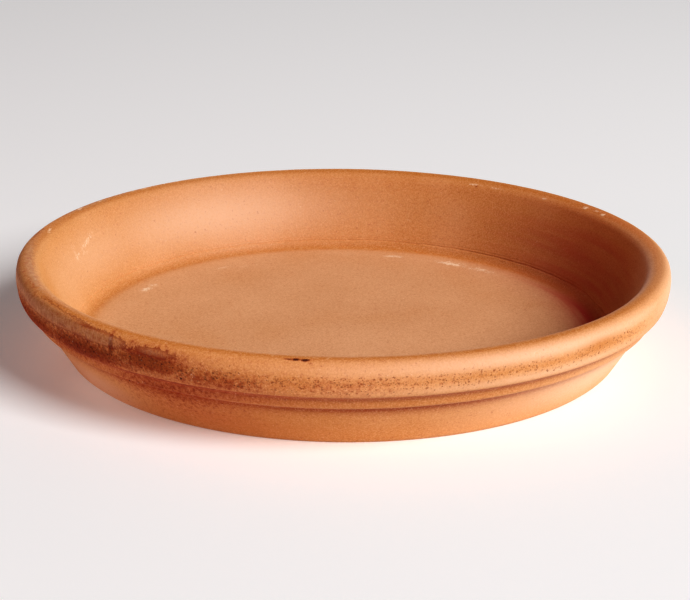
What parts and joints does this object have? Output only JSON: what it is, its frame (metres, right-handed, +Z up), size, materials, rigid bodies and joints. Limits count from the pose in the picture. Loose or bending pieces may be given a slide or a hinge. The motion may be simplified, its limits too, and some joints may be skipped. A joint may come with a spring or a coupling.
{
  "type": "pot saucer",
  "caption": "Round shallow terracotta saucer with a flared wall and a bulging rim band, which stands under a plant pot and catches its water.",
  "frame": {"origin": "centre of the circle that the underside rests on", "axes": "+Z up, along the axis of the round body; +X and +Y are any two directions at right angles in the resting plane"},
  "size_m": [0.305, 0.305, 0.0437],
  "materials": {
    "terracotta": "unglazed fired clay, matt, slightly chalky, with fine pores round the rim band"
  },
  "bodies": {
    "root": {"saucer": "terracotta"}
  },
  "joints": []
}
